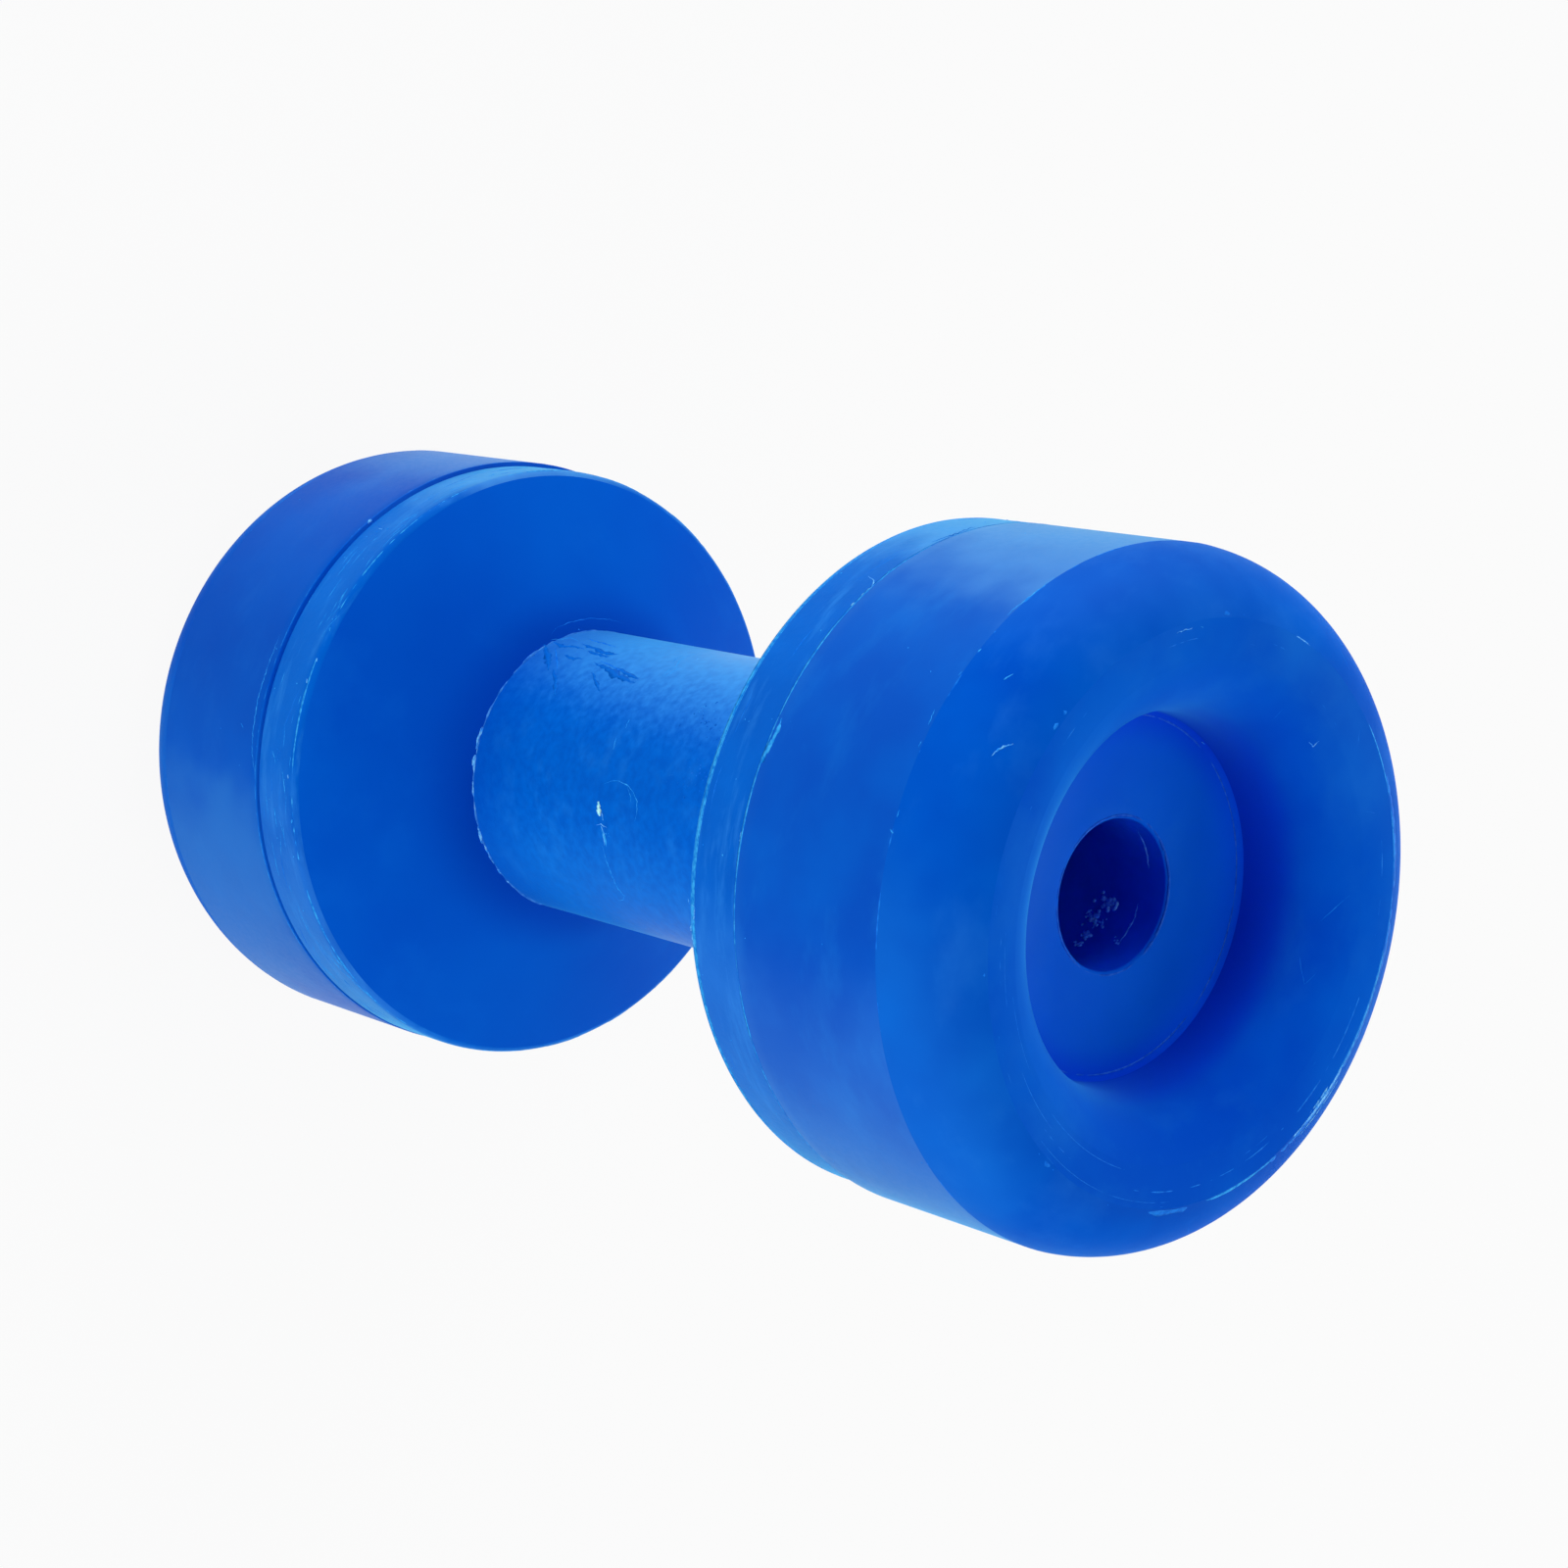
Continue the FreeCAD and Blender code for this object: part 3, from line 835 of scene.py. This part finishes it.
# What the rings in one place share: shaft root, drum's turn, bore mouth and foot of the recess wall
rootRing = {"radius": mouldingValues["shaft"], "height": mouldingValues["shaftRoot"], "lean": -32,
            "steps": 400, "shift": mismatchValues["shaft"]}
turnRing = {"kind": "rubbed", "radius": mouldingValues["drum"], "height": 66.7, "lean": 4,
            "width": 0.40, "rise": 0.02, "cover": 0.45, "patch": 4.0}
mouthRing = {"kind": "footFlash", "radius": 8.58, "height": mouldingValues["hubHeight"], "lean": 96,
             "width": 0.34, "rise": 0.04, "cover": 1.0, "patch": 4.0, "steps": 240}
wallRing = {"kind": "footFlash", "radius": 19.3, "height": 62.65, "lean": 100,
            "width": 0.26, "rise": 0.05, "cover": 1.0, "patch": 4.0, "steps": 320}

# Rings. head is 1 for the upper one and -1 for the lower. radius, height (from mid-length), width,
# rise and patch, the length of the slow changes, are in mm. lean is the way the ridge points, in
# degrees from level toward that head's end. cover is the share of its full size that it mostly has,
# larger by peakGain at peak (degrees about the axle), which fades over peakSpan.
ringValues = [
    # flash torn off where the flanks meet the shaft
    {**rootRing, "kind": "rootFlash", "head": -1, "width": 0.60, "rise": 0.24, "cover": 0.60, "patch": 2.4},
    {**rootRing, "kind": "stressWhitened", "head": -1, "width": 0.50, "rise": 0.32, "cover": 0.0,
     "patch": 1.3, "peak": -70, "peakSpan": 30, "peakGain": 0.55},
    {**rootRing, "kind": "rootFlash", "head": 1, "width": 0.42, "rise": 0.16, "cover": 0.66, "patch": 3.0},
    # the sharp inner edges of the bands, scuffed paler; the upper head's full rings are a painted highlight
    # where its edge catches the light
    {"kind": "scuffed", "head": -1, "radius": 37.45, "height": 37.9, "lean": -35, "width": 0.30,
     "rise": 0.05, "cover": 0.75, "patch": 5.0},
    {"kind": "scuffed", "head": 1, "radius": 37.54, "height": 38.42, "lean": -2, "width": 0.26,
     "rise": 0.015, "cover": 1.7, "patch": 5.0},
    {"kind": "scuffed", "head": 1, "radius": 37.51, "height": 38.11, "lean": -12, "width": 0.52,
     "rise": 0.02, "cover": 1.7, "patch": 5.0},
    {"kind": "scuffed", "head": 1, "radius": 37.31, "height": 37.65, "lean": -36, "width": 0.52,
     "rise": 0.02, "cover": 1.7, "patch": 5.0},
    # flash along the mould lines; on the lower head the pale line is a painted highlight where the drum's
    # edge catches the light
    {"kind": "scuffed", "head": -1, "radius": 37.86, "height": 45.60, "lean": 0, "width": 0.16, "rise": 0.02,
     "cover": 0.72},
    {"kind": "scuffed", "head": 1, "radius": 37.86, "height": 45.36, "lean": 0, "width": 0.42, "rise": 0.02,
     "cover": 0.95},
    # rubbed line where the drum turns into the shoulder
    {**turnRing, "head": -1},
    {**turnRing, "head": 1, "peak": -160, "peakSpan": 40, "peakGain": 0.3},
    # rubbed crests, most of all at the foot of the picture
    {"kind": "rubbed", "head": -1, "radius": 31.2, "height": 74.9, "lean": 74, "width": 0.40, "cover": 0.4,
     "peak": -120, "peakSpan": 50, "peakGain": 0.5},
    {"kind": "rubbed", "head": 1, "radius": 31.1, "height": 74.9, "lean": 76, "width": 0.90, "cover": 0.3,
     "peak": 80, "peakSpan": 60, "peakGain": 0.9},
    {"kind": "scuffed", "head": 1, "radius": 30.9, "height": 74.95, "lean": 82, "width": 0.28, "cover": -0.4,
     "peak": 112, "peakSpan": 40, "peakGain": 1.4, "fray": 0.15},
    {"kind": "scuffed", "head": 1, "radius": 30.75, "height": 75.0, "lean": 86, "width": 0.55, "rise": 0.04,
     "cover": -0.4, "peak": 72, "peakSpan": 24, "peakGain": 1.4, "fray": 0.15},
    {"kind": "scuffed", "head": 1, "radius": 31.0, "height": 74.95, "lean": 80, "width": 0.50, "rise": 0.04,
     "cover": -0.4, "peak": 30, "peakSpan": 24, "peakGain": 1.3, "fray": 0.2},
    {"kind": "stressWhitened", "head": 1, "radius": 30.85, "height": 75.0, "lean": 84, "width": 0.75,
     "rise": 0.06, "cover": -0.6, "patch": 9.0, "peak": 58, "peakSpan": 17, "peakGain": 1.7, "fray": 0.2},
    {"kind": "stressWhitened", "head": 1, "radius": 31.8, "height": 74.65, "lean": 66, "width": 0.40,
     "rise": 0.04, "cover": -0.6, "patch": 9.0, "peak": 53, "peakSpan": 11, "peakGain": 1.7, "fray": 0.2},
    {"kind": "rubbed", "head": 1, "radius": 29.0, "height": 74.8, "lean": 98, "width": 0.30, "cover": 0.2,
     "peak": 40, "peakSpan": 40, "peakGain": 0.8},
    {"kind": "stressWhitened", "head": 1, "radius": 30.8, "height": 75.0, "lean": 88, "width": 0.26,
     "cover": -0.6, "patch": 9.0, "peak": 168, "peakSpan": 10, "peakGain": 1.6, "fray": 0.1},
    # fine turning scratches in the mouth
    {"kind": "rubbed", "head": 1, "radius": 30.1, "height": 75.0, "lean": 92, "width": 0.16, "rise": 0.02,
     "cover": 0.15, "patch": 7.0, "peak": -25, "peakSpan": 35, "peakGain": 0.8},
    {"kind": "rubbed", "head": 1, "radius": 28.3, "height": 74.7, "lean": 98, "width": 0.16, "rise": 0.02,
     "cover": 0.15, "patch": 7.0, "peak": -40, "peakSpan": 35, "peakGain": 0.8},
    {"kind": "rubbed", "head": 1, "radius": 27.2, "height": 74.5, "lean": 100, "width": 0.16, "rise": 0.02,
     "cover": 0.15, "patch": 7.0, "peak": -15, "peakSpan": 30, "peakGain": 0.8},
    # bore mouths and the foot of the recess walls
    {**mouthRing, "head": -1},
    {**mouthRing, "head": 1},
    {**wallRing, "head": 1},
    {**wallRing, "head": -1},
]

# Marks that the photograph shows: kind, width and rise in mm, and the pixels of its line
markValues = [
    # the gate, torn off the middle of the shaft
    ("scuffed", 0.20, 0.05, [(614, 801), (623, 797), (632, 797), (640, 801), (646, 808), (650, 818),
                             (650, 828), (648, 838)]),
    ("scuffed", 0.14, 0.04, [(640, 803), (643, 811), (644, 820)]),
    ("torn", 1.00, 0.25, [(611, 818), (611, 825), (612, 833)]),
    ("stressWhitened", 0.30, 0.10, [(614, 829), (615, 837)]),
    ("stressWhitened", 0.22, 0.06, [(608, 842), (613, 841), (619, 844)]),
    ("scuffed", 0.80, 0.05, [(613, 843), (616, 853), (619, 864)]),
    ("stressWhitened", 0.30, 0.06, [(613, 843), (616, 851), (617, 862)]),
    ("scuffed", 0.20, 0.06, [(614, 862), (618, 876), (624, 893), (631, 907), (637, 914), (636, 918),
                             (631, 919), (629, 914)]),
    ("scuffed", 0.22, 0.05, [(642, 734), (640, 739), (638, 743)]),
    ("scuffed", 0.26, 0.06, [(629, 753), (627, 759), (626, 765)]),
    # folds of the skin at the top of the shaft
    ("folded", 1.44, 0.05, [(594, 657), (606, 661), (616, 666), (632, 668)]),
    ("folded", 1.12, 0.05, [(600, 664), (612, 668), (622, 670)]),
    ("folded", 1.60, 0.05, [(606, 676), (618, 682), (631, 690), (648, 697)]),
    ("folded", 1.12, 0.05, [(630, 681), (641, 688), (651, 692)]),
    ("folded", 1.44, 0.05, [(555, 658), (559, 670), (560, 684)]),
    ("folded", 1.12, 0.05, [(564, 682), (567, 694), (566, 710)]),
    ("folded", 1.28, 0.05, [(562, 654), (574, 660), (583, 659), (596, 662)]),
    ("folded", 0.96, 0.05, [(604, 686), (609, 697), (612, 706)]),
    ("folded", 1.12, 0.05, [(576, 668), (584, 672), (594, 672)]),
    ("rubbed", 0.50, 0.05, [(600, 652), (614, 656), (628, 660)]),
    ("rubbed", 0.40, 0.05, [(612, 674), (626, 680), (640, 688)]),
    ("rubbed", 0.40, 0.05, [(566, 660), (568, 672), (569, 686)]),
    ("scuffed", 0.20, 0.04, [(674, 692), (682, 684), (690, 680), (694, 673), (703, 669), (711, 667)]),
    ("scuffed", 0.16, 0.04, [(680, 690), (688, 685), (693, 681)]),
    ("scuffed", 0.16, 0.04, [(686, 677), (690, 672), (697, 669)]),
    ("scuffed", 0.18, 0.04, [(562, 652), (572, 653), (582, 650), (590, 654)]),
    ("stressWhitened", 0.24, 0.07, [(711, 672), (714, 673)]),
    ("stressWhitened", 0.26, 0.07, [(590, 642), (592, 643)]),
    ("stressWhitened", 0.26, 0.07, [(619, 644), (621, 645)]),
    ("rubbed", 0.26, 0.02, [(562, 649), (567, 641), (581, 635), (602, 631), (622, 632), (638, 637)]),
    # flash on the inner edge of the near band and beside it
    ("stressWhitened", 0.22, 0.10, [(702, 917), (704, 922), (708, 925)]),
    ("stressWhitened", 0.24, 0.10, [(709, 926), (708, 938), (705, 947), (707, 958), (709, 966)]),
    ("stressWhitened", 0.34, 0.12, [(705, 944), (705, 950)]),
    # the mould line of the near head
    ("scuffed", 1.10, 0.06, [(798, 732), (794, 744), (787, 758), (780, 771), (775, 782)]),
    ("stressWhitened", 0.60, 0.14, [(757, 848), (756, 853), (755, 858)]),
    ("stressWhitened", 0.30, 0.08, [(869, 618), (873, 615)]),
    ("stressWhitened", 0.26, 0.08, [(878, 610), (885, 603), (891, 598), (892, 592), (886, 588)]),
    ("scuffed", 0.24, 0.05, [(898, 593), (906, 585), (915, 578)]),
    ("folded", 0.30, 0.06, [(950, 554), (960, 549), (972, 546), (984, 541), (996, 537)]),
    # the rubbed line between drum and shoulder
    ("scuffed", 0.40, 0.03, [(1076, 589), (1062, 600), (1048, 611), (1036, 620), (1026, 629)]),
    ("scuffed", 0.30, 0.03, [(1001, 662), (998, 665)]),
    ("scuffed", 0.30, 0.03, [(981, 685), (978, 689)]),
    ("scuffed", 0.28, 0.03, [(954, 724), (950, 733), (947, 740)]),
    ("scuffed", 0.30, 0.03, [(940, 757), (937, 763)]),
    ("scuffed", 0.26, 0.03, [(918, 826), (915, 834)]),
    ("scuffed", 0.34, 0.04, [(908, 846), (911, 850)]),
    # scuffs on the shoulder
    ("stressWhitened", 0.34, 0.06, [(1012, 772), (1017, 766), (1024, 762), (1034, 759)]),
    ("scuffed", 0.26, 0.04, [(1024, 694), (1029, 690), (1034, 688)]),
    ("scuffed", 0.34, 0.04, [(1068, 1180), (1071, 1184), (1075, 1188)]),
    # scuffs and scratches in the mouth of the near head
    ("stressWhitened", 0.26, 0.05, [(1201, 646), (1208, 643), (1217, 641)]),
    ("scuffed", 0.26, 0.04, [(1225, 639), (1228, 640)]),
    ("stressWhitened", 0.24, 0.06, [(1336, 757), (1340, 762)]),
    ("stressWhitened", 0.22, 0.06, [(1340, 762), (1346, 756)]),
    ("stressWhitened", 0.26, 0.06, [(1226, 757), (1229, 759)]),
    # the far head
    ("stressWhitened", 0.50, 0.08, [(375, 534), (379, 531)]),
    ("stressWhitened", 0.26, 0.06, [(387, 539), (390, 540)]),
    ("scuffed", 0.24, 0.04, [(246, 738), (248, 742)]),
    # a painted highlight along the lower drum's edge beside the mould line
    ("scuffed", 0.26, 0.04, [(286, 647), (273, 680), (263, 713), (258, 746), (257, 767), (260, 791)]),
    ("stressWhitened", 0.40, 0.08, [(323, 672), (323, 675)]),
    ("stressWhitened", 0.36, 0.08, [(313, 693), (313, 697)]),
    ("scuffed", 0.36, 0.06, [(337, 640), (336, 644)]),
    ("stressWhitened", 0.40, 0.08, [(294, 790), (294, 794)]),
    ("scuffed", 0.36, 0.06, [(298, 836), (297, 840)]),
    ("scuffed", 0.26, 0.05, [(345, 616), (350, 607), (355, 600)]),
    ("scuffed", 0.24, 0.04, [(343, 590), (350, 580), (358, 569), (364, 562)]),
    ("scuffed", 0.24, 0.04, [(278, 766), (280, 773), (281, 780)]),
    ("scuffed", 0.24, 0.04, [(296, 772), (296, 783)]),
    ("scuffed", 0.26, 0.04, [(318, 955), (334, 974), (352, 993), (372, 1012), (392, 1030)]),
    ("scuffed", 0.22, 0.04, [(330, 962), (346, 982), (362, 999)]),
    # thicker stretches of the flash at the lower end of the shaft
    ("stressWhitened", 0.50, 0.14, [(492, 742), (488, 753), (486, 764)]),
    ("stressWhitened", 0.60, 0.16, [(485, 770), (483, 781)]),
    ("stressWhitened", 0.40, 0.12, [(483, 796), (483, 812)]),
    ("stressWhitened", 0.50, 0.14, [(488, 843), (490, 852), (492, 861)]),
    ("stressWhitened", 0.40, 0.12, [(499, 872), (504, 881)]),
    # inside the bore
    ("boreDirt", 0.55, 0.05, [(1161, 848), (1166, 858), (1170, 870), (1172, 886)]),
    ("boreDirt", 0.45, 0.05, [(1161, 922), (1158, 936), (1150, 950), (1142, 963)]),
]

# Crumbs in a heap: kind, the photograph's pixel, spread in pixels, number and widths in mm
blotValues = [
    ("boreDirt", (1131, 921), 8, 34, (0.3, 1.0)),
    ("boreDirt", (1114, 937), 7, 26, (0.3, 0.9)),
    ("boreDirt", (1108, 955), 4, 26, (0.4, 1.0)),
    ("boreDirt", (1101, 962), 4, 12, (0.3, 0.7)),
    ("boreDirt", (1122, 944), 6, 12, (0.2, 0.5)),
    ("boreDirt", (1140, 962), 4, 9, (0.2, 0.5)),
    ("scuffed", (617, 851), 5, 10, (0.10, 0.25)),
    ("torn", (612, 826), 2, 5, (0.3, 0.6)),
    ("rubbed", (385, 540), 12, 14, (0.12, 0.3)),
    ("rubbed", (285, 770), 10, 16, (0.12, 0.3)),
    ("scuffed", (718, 725), 9, 12, (0.10, 0.2)),
    ("folded", (722, 740), 22, 40, (0.15, 0.35)),
    ("folded", (700, 800), 26, 30, (0.12, 0.3)),
    ("rubbed", (712, 790), 16, 16, (0.12, 0.3)),
]

# Scuffs. turns and skew are in degrees, lengths in mm, and bend in radians for each stride. Each
# place is a radius with a height from mid-length.
scuffValues = [
    # all over the side that the photograph doesn't show
    {"kind": "rubbed", "count": 46, "turns": (10, 170), "heads": (-1, 1), "skew": 90, "strides": (4, 12),
     "stride": 0.6, "bend": 0.15, "width": (0.10, 0.30), "rise": 0.02,
     "places": [(37.8, 50), (37.8, 60), (36.5, 70), (33.5, 73.5), (28.5, 74.6), (24, 71), (17.7, 10)]},
    # dashes round the bands, most of them near the inner edge of the lower head's band
    {"kind": "scuffed", "count": 70, "turns": (150, 350), "heads": (-1,), "skew": 8, "strides": (3, 9),
     "stride": 0.5, "bend": 0.15, "width": (0.12, 0.26), "rise": 0.03,
     "places": [(37.5, 38.6), (37.5, 39.2), (37.5, 40.2), (37.5, 41.6), (37.5, 43.4)]},
    {"kind": "rubbed", "count": 60, "turns": (-180, 180), "heads": (-1, 1), "skew": 8, "strides": (4, 14),
     "stride": 0.5, "bend": 0.15, "width": (0.16, 0.34), "rise": 0.03,
     "places": [(37.5, 39.5), (37.5, 40.8), (37.5, 42.2), (37.5, 44.2)]},
]


wanderValues = {"folded": 0.7, "other": 0.4}    # pixels, how unsteadily a traced mark runs


def makeMarks(tree, camera):
    groups = {kind: bmesh.new() for kind in markFinishes}
    for row in ringValues:
        pourInto(groups[row["kind"]], makeRing(tree, row))
    for kind, width, rise, pixels in markValues:
        wander = wanderValues.get(kind, wanderValues["other"])
        for run in tracePixels(tree, camera, pixels, wander):
            pourInto(groups[kind], makeStrip(run, width, rise))
    for kind, pixel, spread, count, widths in blotValues:
        pourInto(groups[kind], makeBlot(tree, camera, pixel, spread, count, widths))
    pourInto(groups["scuffed"], makeSpecks(tree, speckValues))
    for row in scuffValues:
        pourInto(groups[row["kind"]], makeScuffs(tree, row))
    for kind, bm in groups.items():
        shown = len(bm.faces)
        finishMarks(bm, kind + "Marks", makeMarkPlastic(kind, markFinishes[kind]))
        print(kind, shown, "faces")


makeMarks(surface, camera)
print("marks laid")
